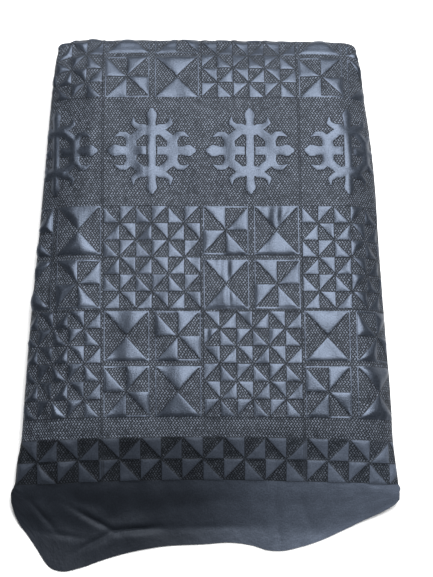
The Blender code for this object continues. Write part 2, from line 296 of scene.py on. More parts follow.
# Stitches, threads and the scales of their noise
DASH_PITCH = 0.0030
DASH_ROW = 0.0025
DASH_SLANT = 0.50
DASH_DRIFT = 0.0034
DRIFT_SCALE = 70.0
DASH_WAVE_START = -0.35
DASH_WAVE_END = 0.45
DASH_ROW_EDGE = 0.50
DASH_ROW_CORE = 0.28
SHADE_SCALE = 380.0
SHADE_LOW = 0.22
RIB_PITCH = 0.0031
RIB_CONTRAST = 0.25
RIB_BRIGHTNESS = 1.7
STRIP_FAINTNESS = 0.75
BROAD_SCALE = 14.0
MIDDLE_SCALE = 70.0
STREAK_SCALE = 42.0
STREAK_STRETCH = 3.0
RUMPLE_SCALE = 38.0
THREAD_SCALE = 640.0

# Colours of the cloth, as linear red, green and blue
GROUND_DARK = (0.013, 0.0152, 0.019)
GROUND_LIGHT = (0.118, 0.135, 0.168)
STRIP_GROUND_DARK = (0.004, 0.005, 0.0065)
SATIN_DARK = (0.014, 0.017, 0.023)
SATIN_LIGHT = (0.072, 0.086, 0.113)
PLAIN_DARK = (0.009, 0.011, 0.015)
PLAIN_LIGHT = (0.038, 0.046, 0.062)
# Colour of the painted shade in the grooves beside the satin, also used for the seams' own dark
# lines
GROOVE_SHADE_AND_SEAM_COLOUR = (0.012, 0.014, 0.018)
# Painted shade on the plain border: its colour, its share, and where it grows towards the left
PAINTED_BORDER_SHADE = (0.005, 0.0062, 0.0085)
PAINTED_BORDER_SHADE_SHARE = 0.62
PAINTED_BORDER_SHADE_START = 0.06
PAINTED_BORDER_SHADE_END = -0.06
# Painted light on the strip and the plain border: where it starts and where it is full, towards the
# right
PAINTED_LIGHT_START = -0.03
PAINTED_LIGHT_END = 0.17

# Edges of the satin in the shader, and the groove and seams beside it: the groove's darkness is
# painted shade, the seams' dark lines are their own colour
SATIN_EDGE_START = -0.0002
SATIN_EDGE_END = 0.0003
GROOVE_SHADE_PLACE = 0.0005
GROOVE_SHADE_CORE = 0.0001
GROOVE_SHADE_EDGE = 0.0006
GROOVE_SHADE_DARKNESS = 0.6
SEAM_DARKNESS = 0.8
EDGE_BUMP_START = -0.0007
EDGE_BUMP_END = 0.0001

# Broad tones that multiply the colour, at the low and the high end of their noise. The second pair
# is painted light, towards the right of the strip and the plain border.
TONE_LOW = (0.58, 0.59, 0.60)
TONE_HIGH = (1.42, 1.42, 1.42)
PAINTED_LIGHT_TONE_LOW = (1.70, 1.70, 1.70)
PAINTED_LIGHT_TONE_HIGH = (3.70, 3.70, 3.70)

# Roughness and metallic share of the ground, the satin and the plain border with its strip
GROUND_ROUGHNESS = 0.62
SATIN_ROUGHNESS = 0.40
PLAIN_ROUGHNESS = 0.55
THREAD_ROUGHNESS = 0.08
SPECULAR_LEVEL = 0.12
GROUND_GLOSS = 0.50
SATIN_GLOSS = 0.80
PLAIN_GLOSS = 0.35

# Heights of the bump's parts, as shares of its distance
EDGE_BUMP = 0.35
DOT_BUMP = 0.26
THREAD_BUMP = 0.15
STREAK_BUMP = 0.32
RUMPLE_BUMP = 2.2
BUMP_STRENGTH = 0.9
BUMP_DISTANCE = 0.001

# Soft lights: name, place, the point that it faces, width and depth, power
SOFT_LIGHTS = (
    ("softbox", (0.42, 0.52, 2.0), (0.0, 0.0, 0.0), (1.35, 1.30), 80.0),
    ("far softbox", (0.15, 1.60, 1.52), (0.0, 0.2, 0.0), (1.30, 0.80), 46.0),
)
WORLD_COLOUR = (0.95, 0.97, 1.0, 1.0)
WORLD_STRENGTH = 0.13
FLOOR_SIZE = 14.0
FLOOR_LEVEL = -0.0004
FLOOR_COLOUR = (0.88, 0.88, 0.88, 1.0)
FLOOR_ROUGHNESS = 0.9
FLOOR_SPECULAR_LEVEL = 0.1


class Wire:
    """A number that a shader socket carries, with ordinary arithmetic."""

    tree = None

    def __init__(self, socket):
        self.socket = socket

    @classmethod
    def math(cls, operation, *values):
        node = cls.tree.nodes.new("ShaderNodeMath")
        node.operation = operation
        for slot, value in zip(node.inputs, values):
            if isinstance(value, Wire):
                cls.tree.links.new(value.socket, slot)
            else:
                slot.default_value = float(value)
        return cls(node.outputs[0])

    def __add__(self, other):
        return Wire.math("ADD", self, other)

    __radd__ = __add__

    def __sub__(self, other):
        return Wire.math("SUBTRACT", self, other)

    def __rsub__(self, other):
        return Wire.math("SUBTRACT", other, self)

    def __mul__(self, other):
        return Wire.math("MULTIPLY", self, other)

    __rmul__ = __mul__


def either(operation, plain, *values):
    """Use a math node where a value is a wire, and numpy otherwise."""
    if any(isinstance(value, Wire) for value in values):
        return Wire.math(operation, *values)
    return plain(*values)


def floor_of(value):
    return either("FLOOR", np.floor, value)


def size_of(value):
    return either("ABSOLUTE", np.abs, value)


def least(first, *others):
    for other in others:
        first = either("MINIMUM", np.minimum, first, other)
    return first


def most(first, *others):
    for other in others:
        first = either("MAXIMUM", np.maximum, first, other)
    return first


def over(value, limit):
    """One where the value is over the limit, and zero elsewhere."""
    return either("GREATER_THAN", lambda a, b: (a > b) * 1.0, value, limit)


def root(value):
    return either("SQRT", np.sqrt, value)


def wave(value):
    return either("SINE", np.sin, value)


def choose(share, low, high):
    """Low where share is 0, high where it is 1."""
    return low + (high - low) * share


def ease(value, start, end):
    """Rise smoothly from 0 at start to 1 at end."""
    share = least(most((value - start) * (1.0 / (end - start)), 0.0), 1.0)
    return share * share * (3.0 - 2.0 * share)


def odd(number):
    """One for an odd whole number, zero for an even one."""
    half = number * 0.5
    return (half - floor_of(half)) * 2.0


def satin_half(past_edge, inside):
    """Depth into the satin part of a square. On the ground part it counts from the nearest edge."""
    in_satin = least(past_edge, inside - EDGE_INSET)
    in_ground = most(past_edge, (inside + EDGE_INSET) * -1.0)
    return choose(over(past_edge, 0.0), in_ground, in_satin)


def half_square(cell_x, cell_y, a, b, half_x, half_y, turn):
    """Depth into the satin half of a small square of a pinwheel.

    The satin half changes from square to square. Turn is +1 or -1, for the way they go round.
    """
    sign_a = 1.0 - 2.0 * odd(cell_y)
    sign_b = 2.0 * odd(cell_x) - 1.0
    reach = half_x * half_y / math.hypot(half_x, half_y)
    past_diagonal = (sign_a * a * (1.0 / half_x) + sign_b * b * (1.0 / half_y)) * turn * reach
    inside = least(half_x - size_of(a), half_y - size_of(b))
    return satin_half(past_diagonal - DIAGONAL_INSET, inside)


def small_block(x, y, turn):
    """Satin depth in a block of six by six small squares."""
    width = (BLOCK_WIDTH - 2.0 * SMALL_MARGIN) / SMALL_SQUARES
    height = (BLOCK_HEIGHT - 2.0 * SMALL_MARGIN) / SMALL_SQUARES
    cell_x = floor_of((x - SMALL_MARGIN) * (1.0 / width))
    cell_y = floor_of((y - SMALL_MARGIN) * (1.0 / height))
    a = x - SMALL_MARGIN - (cell_x + 0.5) * width
    b = y - SMALL_MARGIN - (cell_y + 0.5) * height
    satin = half_square(cell_x, cell_y, a, b, 0.5 * width, 0.5 * height, turn)
    edge_x = 0.5 * BLOCK_WIDTH - SMALL_MARGIN - size_of(x - 0.5 * BLOCK_WIDTH)
    edge_y = 0.5 * BLOCK_HEIGHT - SMALL_MARGIN - size_of(y - 0.5 * BLOCK_HEIGHT)
    return least(satin, edge_x, edge_y)


def large_block(x, y, turn):
    """Satin depth in a block of two by two large squares, and depth into their satin frames."""
    width = 0.5 * (BLOCK_WIDTH - LARGE_GAP_X) - LARGE_MARGIN_X
    height = 0.5 * (BLOCK_HEIGHT - LARGE_GAP_Y) - LARGE_MARGIN_Y
    right = over(x, 0.5 * BLOCK_WIDTH)
    upper = over(y, 0.5 * BLOCK_HEIGHT)
    first_x = LARGE_MARGIN_X + 0.5 * width
    first_y = LARGE_MARGIN_Y + 0.5 * height
    a = x - choose(right, first_x, BLOCK_WIDTH - first_x)
    b = y - choose(upper, first_y, BLOCK_HEIGHT - first_y)
    inside = least(0.5 * width - size_of(a), 0.5 * height - size_of(b))
    # An hourglass: satin above and below the middle
    reach = 0.5 * width * height / math.hypot(width, height)
    hourglass = (size_of(b) * (2.0 / height) - size_of(a) * (2.0 / width)) * reach
    hourglass = satin_half(hourglass - DIAGONAL_INSET, inside)
    # A pinwheel of four quarter squares
    cell_x = over(a, 0.0)
    cell_y = over(b, 0.0)
    quarter_a = a - (cell_x - 0.5) * (0.5 * width)
    quarter_b = b - (cell_y - 0.5) * (0.5 * height)
    pinwheel = half_square(cell_x, cell_y, quarter_a, quarter_b, 0.25 * width, 0.25 * height, turn)
    # Pinwheels lie on one diagonal of the block, hourglasses on the other
    on_rising = 1.0 - size_of(right - upper)
    is_pinwheel = choose(over(turn, 0.0), 1.0 - on_rising, on_rising)
    satin = choose(is_pinwheel, hourglass, pinwheel)
    satin = least(satin, inside - LARGE_FRAME_X)
    side_line = least(inside, LARGE_FRAME_X + size_of(a) - 0.5 * width)
    end_line = least(inside, LARGE_FRAME_Y + size_of(b) - 0.5 * height)
    return satin, most(side_line, end_line)


def stroke(x, y, row):
    """Depth inside a straight stroke that narrows or widens from its start to its end."""
    start_x, start_y, end_x, end_y, start_radius, end_radius = row
    along_x = end_x - start_x
    along_y = end_y - start_y
    length_squared = along_x ** 2 + along_y ** 2
    from_x = x - start_x
    from_y = y - start_y
    share = (from_x * along_x + from_y * along_y) * (1.0 / length_squared)
    share = least(most(share, 0.0), 1.0)
    off_x = from_x - share * along_x
    off_y = from_y - share * along_y
    return choose(share, start_radius, end_radius) - root(off_x * off_x + off_y * off_y)


def figure(x, y):
    """Satin depth in the crossed figure, all four quarters."""
    x = size_of(x) * 1000.0
    y = size_of(y) * 1000.0
    depth = stroke(x, y, FIGURE_STROKES[0])
    for row in FIGURE_STROKES[1:]:
        depth = most(depth, stroke(x, y, row))
    gap = FIGURE_GAP_HALF_WIDTH - size_of(x - FIGURE_GAP_X)
    gap = least(gap, FIGURE_GAP_REACH - y)
    return least(depth, gap * -1.0) * 0.001


def embroidery(across, along):
    """What the flat cloth is at a point.

    The satin is its depth into a satin patch, and puff the height that such a patch rises to.
    The line is its depth into a narrow satin frame, and seam its nearness to a dark seam.
    Ribs is one in the ribbed band, strip is one in the strip of pinwheels and in the plain
    border, and plain is one in the border alone.
    """
    u = across + PATTERN_SHIFT - PATTERN_SKEW * along
    from_end = PATTERN_END - along
    period = 2.0 * BLOCK_HEIGHT + FIGURE_BAND_HEIGHT
    in_period = from_end - period * floor_of(from_end * (1.0 / period))
    second_row = over(in_period, BLOCK_HEIGHT)
    figures = over(in_period, 2.0 * BLOCK_HEIGHT)
    y = in_period - BLOCK_HEIGHT * second_row
    block = floor_of(u * (1.0 / BLOCK_WIDTH))
    x = u - block * BLOCK_WIDTH
    is_large = size_of(odd(block) - second_row)
    turn = 2.0 * second_row - 1.0
    small = small_block(x, y, turn)
    large, line = large_block(x, y, turn * -1.0)
    satin = choose(is_large, small, large)
    figure_y = in_period - 2.0 * BLOCK_HEIGHT - 0.5 * FIGURE_BAND_HEIGHT
    satin = choose(figures, satin, figure(x - 0.5 * BLOCK_WIDTH, figure_y))
    puff = choose(figures, choose(is_large, SMALL_PUFF, LARGE_PUFF), FIGURE_PUFF)
    line = choose(is_large * (1.0 - figures), OUTSIDE, line)

    # Below the last row come the ribbed band, the strip of pinwheels and the plain border
    below = over(along, PATTERN_END)
    strip = over(along, RIB_BAND_END)
    plain = over(along, STRIP_END)
    half_height = 0.25 * (STRIP_END - RIB_BAND_END)
    strip_u = (across + STRIP_SHIFT) * (1.0 / STRIP_SQUARE)
    strip_v = (STRIP_END - along) * (0.5 / half_height)
    cell_x = floor_of(strip_u)
    cell_y = floor_of(strip_v)
    a = (strip_u - cell_x - 0.5) * STRIP_SQUARE
    b = (strip_v - cell_y - 0.5) * (2.0 * half_height)
    in_strip = half_square(cell_x, cell_y, a, b, 0.5 * STRIP_SQUARE, half_height, -1.0)
    last = choose(plain, choose(strip, OUTSIDE, in_strip), -OUTSIDE)
    satin = choose(below, satin, last)
    puff = choose(below, puff, STRIP_PUFF * strip * (1.0 - plain))
    line = choose(below, line, OUTSIDE)

    # Double seams run down the band of figures, between every second pair of blocks
    from_seam = size_of(u - (2.0 * floor_of(u * (0.5 / BLOCK_WIDTH)) + 1.0) * BLOCK_WIDTH)
    seam = (1.0 - ease(size_of(from_seam - SEAM_PLACE), SEAM_CORE, SEAM_EDGE)) * (1.0 - plain)
    return {
        "satin": satin,
        "puff": puff,
        "line": line,
        "seam": seam * most(figures, below),
        "ribs": below * (1.0 - strip),
        "strip": strip,
        "plain": plain,
    }


def rise(depth):
    """Height of a puff as a share of its full height: steep at its foot, nearly flat on top."""
    share = least(most(depth * (1.0 / PUFF_RUN), 0.0), 1.0)
    foot = PUFF_FOOT_SHARE * ease(depth, -PUFF_FOOT, 0.0)
    return foot + (1.0 - PUFF_FOOT_SHARE) * share * (2.0 - share)


def smooth_table(rows, key, column):
    """Read one column of a table at the given keys, along a smooth curve through its rows."""
    keys = np.array([row[0] for row in rows])
    values = np.array([row[column] for row in rows])
    if keys[0] > keys[-1]:
        keys = keys[::-1]
        values = values[::-1]
    slopes = np.gradient(values, keys)
    key = np.clip(key, keys[0], keys[-1])
    index = np.clip(np.searchsorted(keys, key) - 1, 0, len(keys) - 2)
    span = keys[index + 1] - keys[index]
    share = (key - keys[index]) / span
    start_slope = slopes[index] * span
    end_slope = slopes[index + 1] * span
    cube = share ** 3
    square = share ** 2
    return (
        (2.0 * cube - 3.0 * square + 1.0) * values[index]
        + (cube - 2.0 * square + share) * start_slope
        + (-2.0 * cube + 3.0 * square) * values[index + 1]
        + (cube - square) * end_slope
    )


def soft_folds(x, y):
    """Height added by the soft folds."""
    height = np.zeros(np.broadcast(x, y).shape)
    for fold_x, fold_y, half_length, half_width, degrees, crest in SOFT_FOLDS:
        angle = np.radians(degrees)
        lengthwise = (x - fold_x) * np.cos(angle) + (y - fold_y) * np.sin(angle)
        sideways = (y - fold_y) * np.cos(angle) - (x - fold_x) * np.sin(angle)
        height = height + crest * np.exp(
            -(lengthwise / half_length) ** 2 - (sideways / half_width) ** 2
        )
    return height


def creases(x, y):
    """Height added by the narrow creases: two lips with a valley between them."""
    height = np.zeros(np.broadcast(x, y).shape)
    for fold_x, fold_y, half_length, half_width, degrees, lip in FINE_CREASES:
        angle = np.radians(degrees)
        lengthwise = ((x - fold_x) * np.cos(angle) + (y - fold_y) * np.sin(angle)) / half_length
        sideways = ((y - fold_y) * np.cos(angle) - (x - fold_x) * np.sin(angle)) / half_width
        wide = np.exp(-(sideways / CREASE_LIP_SPREAD) ** 2)
        height = height + lip * np.exp(-lengthwise ** 2) * (wide - np.exp(-sideways ** 2))
    return height


def unevenness(x, y):
    """Height of the face's gentle waves."""
    height = np.zeros_like(x)
    for length, degrees, start, crest in UNEVEN_WAVES:
        angle = np.radians(degrees)
        place = x * np.cos(angle) + y * np.sin(angle)
        height = height + crest * np.sin(2.0 * np.pi * place / length + start)
    return height


def pack_height(x, y):
    """Height of the top layer's middle over the bottom layer's middle, in the visible sheet."""
    middle = smooth_table(PACK_STATIONS, y, 1)
    left = smooth_table(PACK_STATIONS, y, 2)
    right = smooth_table(PACK_STATIONS, y, 3)
    left_edge = smooth_table(PACK_STATIONS, y, 4)
    right_edge = smooth_table(PACK_STATIONS, y, 5)
    from_left = np.clip(1.0 - (x - left_edge) / LEFT_SLOPE_WIDTH, 0.0, SLOPE_LIMIT)
    from_right = np.clip(1.0 - (right_edge - x) / RIGHT_SLOPE_WIDTH, 0.0, SLOPE_LIMIT)
    height = middle
    height = height - (middle - left) * from_left ** LEFT_SLOPE_POWER
    height = height - (middle - right) * from_right ** RIGHT_SLOPE_POWER
    raised = np.clip((height - SOLID_THICKNESS) / FOLD_FADE_HEIGHT, 0.0, 1.0)
    height = height + soft_folds(x, y) * ease(raised, 0.0, 1.0)
    height = np.maximum(height - SOLID_THICKNESS, 0.0)
    # The visible sheet is thinner than the solid's, and its top still meets the solid's top
    spare = SOLID_THICKNESS - SHEET_THICKNESS
    return height + spare * ease(height, 0.0, SPARE_FADE_HEIGHT)


def far_corner_drop(x, row_y):
    """The far fold's line curves back at both corners, and runs a little askew."""
    left = smooth_table(PACK_STATIONS, np.full_like(x, FOLD_Y), 4)
    right = smooth_table(PACK_STATIONS, np.full_like(x, FOLD_Y), 5)
    into_left = np.clip(1.0 - (x - left) / FAR_LEFT_SIZE, 0.0, CORNER_LIMIT)
    into_right = np.clip(1.0 - (right - x) / FAR_RIGHT_SIZE, 0.0, CORNER_LIMIT)
    drop = FAR_LEFT_DROP * into_left ** CORNER_POWER + FAR_RIGHT_DROP * into_right ** CORNER_POWER
    drop = drop + FAR_EDGE_SLOPE * np.maximum(x, 0.0)
    return drop * ease(row_y, FOLD_Y - FAR_DROP_RUN, FOLD_Y)


def row_path(row_y, turn):
    """One row's path across the pack: x, level and flat distance from the middle of the face.

    The turn is 0 in the upper half of the pack and pi in the lower half.
    """
    left_edge = float(smooth_table(PACK_STATIONS, np.array([row_y]), 4)[0])
    right_edge = float(smooth_table(PACK_STATIONS, np.array([row_y]), 5)[0])
    left_start = left_edge + LEFT_BEND_REACH
    right_start = right_edge - RIGHT_BEND_REACH
    face_width = right_start - left_start
    flap_width = 0.5 * (CLOTH_WIDTH - face_width)
    spare = max(face_width - flap_width, 0.0)
    emptiness = float(ease(np.array([spare]), EMPTY_SPARE_START, EMPTY_SPARE_END)[0])
    left_bend_level = LEFT_FLAP_LEVEL + emptiness * (EMPTY_SIDE_LEVEL - LEFT_FLAP_LEVEL)
    right_bend_level = RIGHT_FLAP_LEVEL + emptiness * (EMPTY_SIDE_LEVEL - RIGHT_FLAP_LEVEL)

    share = np.linspace(0.0, 1.0, PATH_SAMPLES)
    half_turn = np.linspace(0.0, np.pi, BEND_SAMPLES)
    # The face, from left to right
    face_x = left_start + face_width * share
    face_level = np.ones_like(face_x)
    # The bends, each from the face down to its flap
    left_x = left_start - LEFT_BEND_REACH * np.sin(half_turn)
    left_level = 1.0 - (1.0 - left_bend_level) * 0.5 * (1.0 - np.cos(half_turn))
    right_x = right_start + RIGHT_BEND_REACH * np.sin(half_turn)
    right_level = 1.0 - (1.0 - right_bend_level) * 0.5 * (1.0 - np.cos(half_turn))
    # The flaps, each from its bend towards the other side
    flap_run = face_width * share
    ramp = ease(flap_run, 0.0, LEVEL_RAMP)
    left_flap_level = left_bend_level + (LEFT_FLAP_LEVEL - left_bend_level) * ramp
    right_flap_level = right_bend_level + (RIGHT_FLAP_LEVEL - right_bend_level) * ramp
    left_flap_x = left_start + flap_run
    right_flap_x = right_start - flap_run

    path_x = np.concatenate(
        (left_flap_x[::-1], left_x[-2:0:-1], face_x, right_x[1:-1], right_flap_x)
    )
    path_level = np.concatenate(
        (left_flap_level[::-1], left_level[-2:0:-1], face_level, right_level[1:-1], right_flap_level)
    )
    height = pack_height(path_x, np.full_like(path_x, row_y))
    path_z = height * (0.5 + 0.5 * path_level * np.cos(turn))
    steps = np.hypot(np.diff(path_x), np.diff(path_z))
    run = np.concatenate(([0.0], np.cumsum(steps)))
    # Flat distance is counted from the line that runs down the middle of the face
    first_of_face = PATH_SAMPLES + BEND_SAMPLES - 2
    last_of_face = first_of_face + PATH_SAMPLES - 1
    face = slice(first_of_face, last_of_face + 1)
    run = run - np.interp(0.0, path_x[face], run[face])
    joints = {
        "left flap": run[PATH_SAMPLES - 1],
        "left face": run[first_of_face],
        "right face": run[last_of_face],
        "right flap": run[last_of_face + BEND_SAMPLES - 1],
    }
    return path_x, path_level, run, joints


def upper_profile():
    """Cloth length along the top at mid-width, and the y that it reaches there."""
    y = np.linspace(FOLD_Y, BORDER_END_Y, PROFILE_SAMPLES)
    z = pack_height(np.zeros_like(y), y)
    run = np.concatenate(([0.0], np.cumsum(np.hypot(np.diff(y), np.diff(z)))))
    return FOLD_HALF_ARC + run, y


def row_place(along, profile):
    """The y where a row lies, its turn round the far fold, and its share of the plain border."""
    run, y = profile
    if abs(along) <= FOLD_HALF_ARC:
        turn = 0.5 * np.pi * (1.0 - along / FOLD_HALF_ARC)
        return FOLD_Y, turn, 0.0
    if along > 0.0:
        row_y = float(np.interp(along, run, y))
        border = (BORDER_START_Y - row_y) / (BORDER_START_Y - BORDER_END_Y)
        return row_y, 0.0, max(border, 0.0)
    return FOLD_Y - (-along - FOLD_HALF_ARC), np.pi, 0.0


def sheet_row(across, along, profile):
    """One row's points in the folded pack, and how much of the embroidery's relief each shows."""
    row_y, turn, border = row_place(along, profile)
    path_x, path_level, run, joints = row_path(row_y, turn)
    x = np.interp(across, run, path_x)
    level = np.interp(across, run, path_level)
    y = row_y + level * FOLD_REACH * np.sin(turn)
    y = y - far_corner_drop(x, np.full_like(x, row_y))
    if turn == 0.0:
        outward = np.minimum(np.abs(x) / BOW_HALF_WIDTH, 1.0) ** 2
        bow = ROW_BOW * float(ease(np.array([-row_y]), -ROW_BOW_START_Y, -BORDER_START_Y)[0])
        y = y - bow * outward
        past_left = (across - joints["left flap"]) / (joints["left face"] - joints["left flap"])
        past_right = (joints["right flap"] - across) / (joints["right flap"] - joints["right face"])
        on_face = ease(past_left, 0.0, 1.0) * ease(past_right, 0.0, 1.0)
        hem = smooth_table(HEM_STATIONS, x, 1)
        end = INNER_HEM_Y + (hem - INNER_HEM_Y) * on_face
        start = BORDER_START_Y - ROW_BOW * outward
        y = np.where(border > 0.0, start + (end - start) * border, y)
    z = 0.5 * SHEET_THICKNESS + pack_height(x, y) * (0.5 + 0.5 * level * np.cos(turn))
    facing_up = float(ease(np.array([np.cos(turn)]), SHOWN_TURN_START, SHOWN_TURN_END)[0])
    shown = ease(level, SHOWN_LEVEL_START, SHOWN_LEVEL_END) * facing_up
    return np.stack((x, y, z), axis=-1), shown


def sheet_stations():
    """The flat coordinates of the columns and of the rows, fine on the face."""
    profile = upper_profile()
    half_width = 0.5 * CLOTH_WIDTH
    face_count = int(round(2.0 * FACE_HALF_WIDTH / FACE_STEP))
    left_flap = np.linspace(-half_width, -FACE_HALF_WIDTH, FLAP_COLUMNS, endpoint=False)
    face = np.linspace(-FACE_HALF_WIDTH, FACE_HALF_WIDTH, face_count, endpoint=False)
    right_flap = np.linspace(FACE_HALF_WIDTH, half_width, FLAP_COLUMNS + 1)
    across = np.concatenate((left_flap, face, right_flap))
    upper_end = profile[0][-1]
    upper_count = int(round((upper_end - FOLD_HALF_ARC) / FACE_STEP))
    lower = np.linspace(-LOWER_LENGTH, -FOLD_HALF_ARC, LOWER_ROWS, endpoint=False)
    fold = np.linspace(-FOLD_HALF_ARC, FOLD_HALF_ARC, FOLD_ROWS, endpoint=False)
    upper = np.linspace(FOLD_HALF_ARC, upper_end, upper_count + 1)
    return across, np.concatenate((lower, fold, upper)), profile


def surface_normals(grid):
    """Unit normals of a grid of points, pointing out of the face."""
    down_rows = np.gradient(grid, axis=0)
    across_rows = np.gradient(grid, axis=1)
    normals = np.cross(down_rows, across_rows)
    return normals / np.linalg.norm(normals, axis=-1, keepdims=True)


def relief(flat_across, flat_along):
    """Height of the embroidery's puffs, which swell where the cloth bends at both sides."""
    made = embroidery(flat_across, flat_along)
    left = ease(flat_across, LEFT_SWELL_START, LEFT_SWELL_END)
    right = ease(flat_across, RIGHT_SWELL_START, RIGHT_SWELL_END)
    dome = least(most(made["satin"] * (1.0 / PUFF_RUN), 0.0), SWELL_DOME_LIMIT)
    swell = EDGE_SWELL * (left + RIGHT_SWELL_SHARE * right) * (made["puff"] > 0.0)
    return made["puff"] * rise(made["satin"]) + swell * dome


def pull_to_edges(flat_across, flat_along):
    """Move the grid's points that lie close to a patch's edge onto it, so edges stay crisp."""
    depth = embroidery(flat_across, flat_along)["satin"]
    beside = embroidery(flat_across + EDGE_PROBE, flat_along)["satin"]
    below = embroidery(flat_across, flat_along + EDGE_PROBE)["satin"]
    slope_across = (beside - depth) / EDGE_PROBE
    slope_along = (below - depth) / EDGE_PROBE
    steepness = np.hypot(slope_across, slope_along)
    even = (steepness > EDGE_STEEPNESS_LOW) & (steepness < EDGE_STEEPNESS_HIGH)
    near = (np.abs(depth) < EDGE_PULL_REACH * FACE_STEP) & even
    step = np.where(near, -depth / np.maximum(steepness, 0.1) ** 2, 0.0)
    return step * slope_across, step * slope_along


def kept_lines(stations, fine_start, fine_end):
    """Stations of the inner skin: fewer in the fine stretch, every one elsewhere."""
    numbers = np.arange(len(stations))
    inside = (stations > fine_start) & (stations < fine_end)
    keep = ~inside | (numbers % INNER_SKIN_STEP == 0)
    keep[0] = True
    keep[-1] = True
    return numbers[keep]


def skin_faces(rows, columns, width, flat_across=None, flat_along=None):
    """Two triangles for each cell of a grid, split along the diagonal that fits the relief."""
    corner = (rows[:, None] * width + columns[None, :]).astype(np.int64)
    first = corner[:-1, :-1].ravel()
    second = corner[1:, :-1].ravel()
    third = corner[1:, 1:].ravel()
    fourth = corner[:-1, 1:].ravel()
    swap = np.zeros(len(first), dtype=bool)
    if flat_across is not None:
        across = flat_across.ravel()
        along = flat_along.ravel()
        height = relief(flat_across, flat_along).ravel()
        centre_across = (across[first] + across[second] + across[third] + across[fourth]) / 4.0
        centre_along = (along[first] + along[second] + along[third] + along[fourth]) / 4.0
        centre = relief(centre_across, centre_along)
        one_way = np.abs(0.5 * (height[first] + height[third]) - centre)
        other_way = np.abs(0.5 * (height[second] + height[fourth]) - centre)
        swap = other_way < one_way
    upper = np.stack((first, second, np.where(swap, fourth, third)), 1)
    lower = np.stack((np.where(swap, second, first), third, fourth), 1)
    return np.concatenate((upper, lower))


def edge_walls(outer_loop, inner_loop, offset):
    """Triangles between the outer skin's rim and the inner skin's rim, which has fewer points."""
    inner_set = set(inner_loop)
    walls = []
    last_inner = outer_loop[0]
    loop = list(outer_loop) + [outer_loop[0]]
    for here, there in zip(loop, loop[1:]):
        walls.append((here, there, last_inner + offset))
        if there in inner_set:
            walls.append((there, there + offset, last_inner + offset))
            last_inner = there
    return np.array(walls)


def rim(rows, columns, width):
    """The points round the edge of a grid, in order."""
    top = [rows[0] * width + column for column in columns[:-1]]
    right = [row * width + columns[-1] for row in rows[:-1]]
    bottom = [rows[-1] * width + column for column in columns[:0:-1]]
    left = [row * width + columns[0] for row in rows[:0:-1]]
    return top + right + bottom + left


def mesh_object(vertices, faces, flat, on_outer_rim):
    """The sheet's object, with its flat coordinates as a UV map and its cut edge sharp."""
    mesh = bpy.data.meshes.new("embroidered_cloth")
    mesh.from_pydata(vertices.tolist(), [], faces.tolist())
    corners = np.zeros(len(mesh.loops), dtype=np.int32)
    mesh.loops.foreach_get("vertex_index", corners)
    flat_map = mesh.uv_layers.new(name="flat_cloth")
    flat_map.uv.foreach_set("vector", flat[corners].astype(np.float32).ravel())
    mesh.shade_smooth()
    ends = np.zeros(2 * len(mesh.edges), dtype=np.int32)
    mesh.edges.foreach_get("vertices", ends)
    sharp = mesh.attributes.new("sharp_edge", "BOOLEAN", "EDGE")
    sharp.data.foreach_set("value", on_outer_rim[ends].reshape(-1, 2).all(axis=1))
    cloth = bpy.data.objects.new("embroidered_cloth", mesh)
    bpy.context.scene.collection.objects.link(cloth)
    return cloth


def make_cloth():
    """The cloth as one closed thin sheet: an outer skin, a coarser inner skin and rim walls."""
    across, along, profile = sheet_stations()
    made_rows = [sheet_row(across, station, profile) for station in along]
    points = np.array([row[0] for row in made_rows])
    shown = np.array([row[1] for row in made_rows])
    flat_across, flat_along = np.meshgrid(across, along)
    normals = surface_normals(points)

    # The pack's middle goes where the CAD solid's middle is
    low, high = (np.array(corner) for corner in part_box("folded_cloth"))
    skin = np.concatenate((
        (points + 0.5 * SHEET_THICKNESS * normals).reshape(-1, 3),
        (points - 0.5 * SHEET_THICKNESS * normals).reshape(-1, 3),
    ))
    shift = 0.5 * (low + high) - 0.5 * (skin.min(axis=0) + skin.max(axis=0))
    shift[2] = 0.0

    crease = creases(points[..., 0], points[..., 1])
    raised = ease(points[..., 2], UNEVEN_FADE_START, UNEVEN_FADE_END)
    crease = (crease + unevenness(points[..., 0], points[..., 1]) * raised) * shown
    base = points + normals * crease[..., None]

    # Slide points along the sheet onto the edges of the satin
    slide_across, slide_along = pull_to_edges(flat_across, flat_along)
    slide_across = slide_across * (shown > 0.5)
    slide_along = slide_along * (shown > 0.5)
    per_across = np.gradient(base, across, axis=1)
    per_along = np.gradient(base, along, axis=0)
    outer_base = base + per_across * slide_across[..., None] + per_along * slide_along[..., None]
    outer_across = flat_across + slide_across
    outer_along = flat_along + slide_along
    base_normals = surface_normals(base)
    height = 0.5 * SHEET_THICKNESS + shown * relief(outer_across, outer_along)
    outer = outer_base + base_normals * height[..., None]
    inner = base - base_normals * (0.5 * SHEET_THICKNESS)

    row_count, width = flat_across.shape
    all_rows = np.arange(row_count)
    all_columns = np.arange(width)
    inner_rows = kept_lines(along, FOLD_HALF_ARC, along[-1])
    inner_columns = kept_lines(across, -FACE_HALF_WIDTH, FACE_HALF_WIDTH)
    layer = row_count * width
    outer_faces = skin_faces(all_rows, all_columns, width, outer_across, outer_along)
    inner_faces = skin_faces(inner_rows, inner_columns, width)[:, ::-1] + layer
    outer_loop = rim(all_rows, all_columns, width)
    walls = edge_walls(outer_loop, rim(inner_rows, inner_columns, width), layer)
    faces = np.concatenate((outer_faces, inner_faces, walls))
    on_outer_rim = np.zeros(2 * layer, dtype=bool)
    on_outer_rim[outer_loop] = True

    vertices = np.concatenate((outer.reshape(-1, 3), inner.reshape(-1, 3))) + shift
    vertices[:, 2] = np.maximum(vertices[:, 2], 0.0)
    flat = np.concatenate((
        np.stack((outer_across.ravel(), outer_along.ravel()), axis=-1),
        np.stack((flat_across.ravel(), flat_along.ravel()), axis=-1),
    ))
    # Leave out the inner skin's points that no face uses
    used, faces = np.unique(faces, return_inverse=True)
    return mesh_object(vertices[used], faces.reshape(-1, 3), flat[used], on_outer_rim[used])


